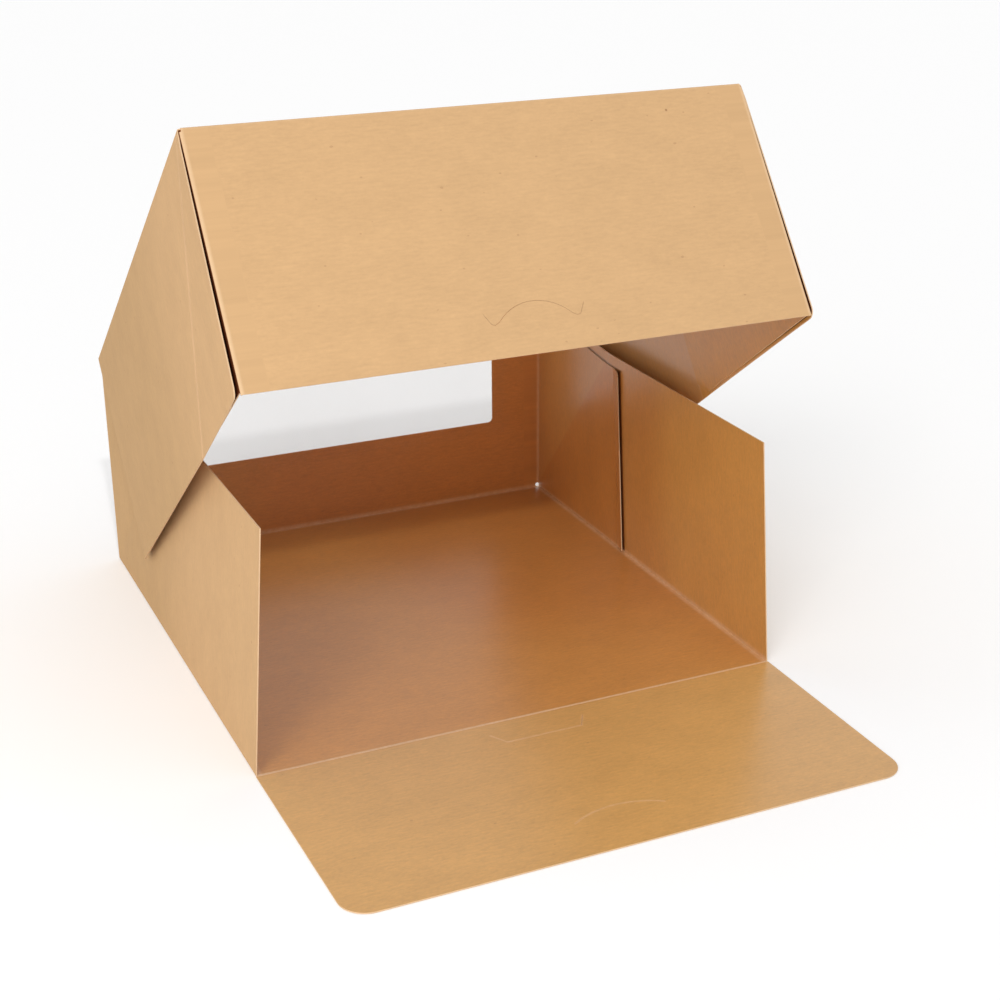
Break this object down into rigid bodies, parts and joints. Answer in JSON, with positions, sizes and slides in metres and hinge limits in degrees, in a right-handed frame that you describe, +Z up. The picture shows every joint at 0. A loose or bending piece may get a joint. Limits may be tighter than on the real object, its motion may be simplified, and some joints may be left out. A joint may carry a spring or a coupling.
{
  "type": "window cake box",
  "caption": "Square kraft cake box with a hinged lid that carries wrap-around sides, a clear film window over the rear fold, and a front flap that folds down flat.",
  "frame": {"origin": "middle of the tray's bottom, on its underside", "axes": "+Z up, +Y from the front flap towards the wall that the lid is hinged on, +X to the right seen from the front"},
  "size_m": [0.286, 0.4046, 0.2932],
  "materials": {
    "kraft_board": "uncoated brown board, satin inside",
    "clear_film": "clear film"
  },
  "bodies": {
    "tray": {"tray": "kraft_board", "rear_window_film": "clear_film"},
    "lid": {"lid": "kraft_board", "lid_window_film": "clear_film"},
    "front_flap": {"front_flap": "kraft_board"}
  },
  "joints": [
    {"name": "lid_hinge", "type": "hinge", "parent": "tray", "child": "lid", "pos_m": [0, 0.1397, 0.1258], "axis": [-1, 0, 0], "range_deg": [-36.5, 143.5]},
    {"name": "front_flap_hinge", "type": "hinge", "parent": "tray", "child": "front_flap", "pos_m": [0, -0.1406, 0.0003], "axis": [-1, 0, 0], "range_deg": [0, 90]}
  ]
}
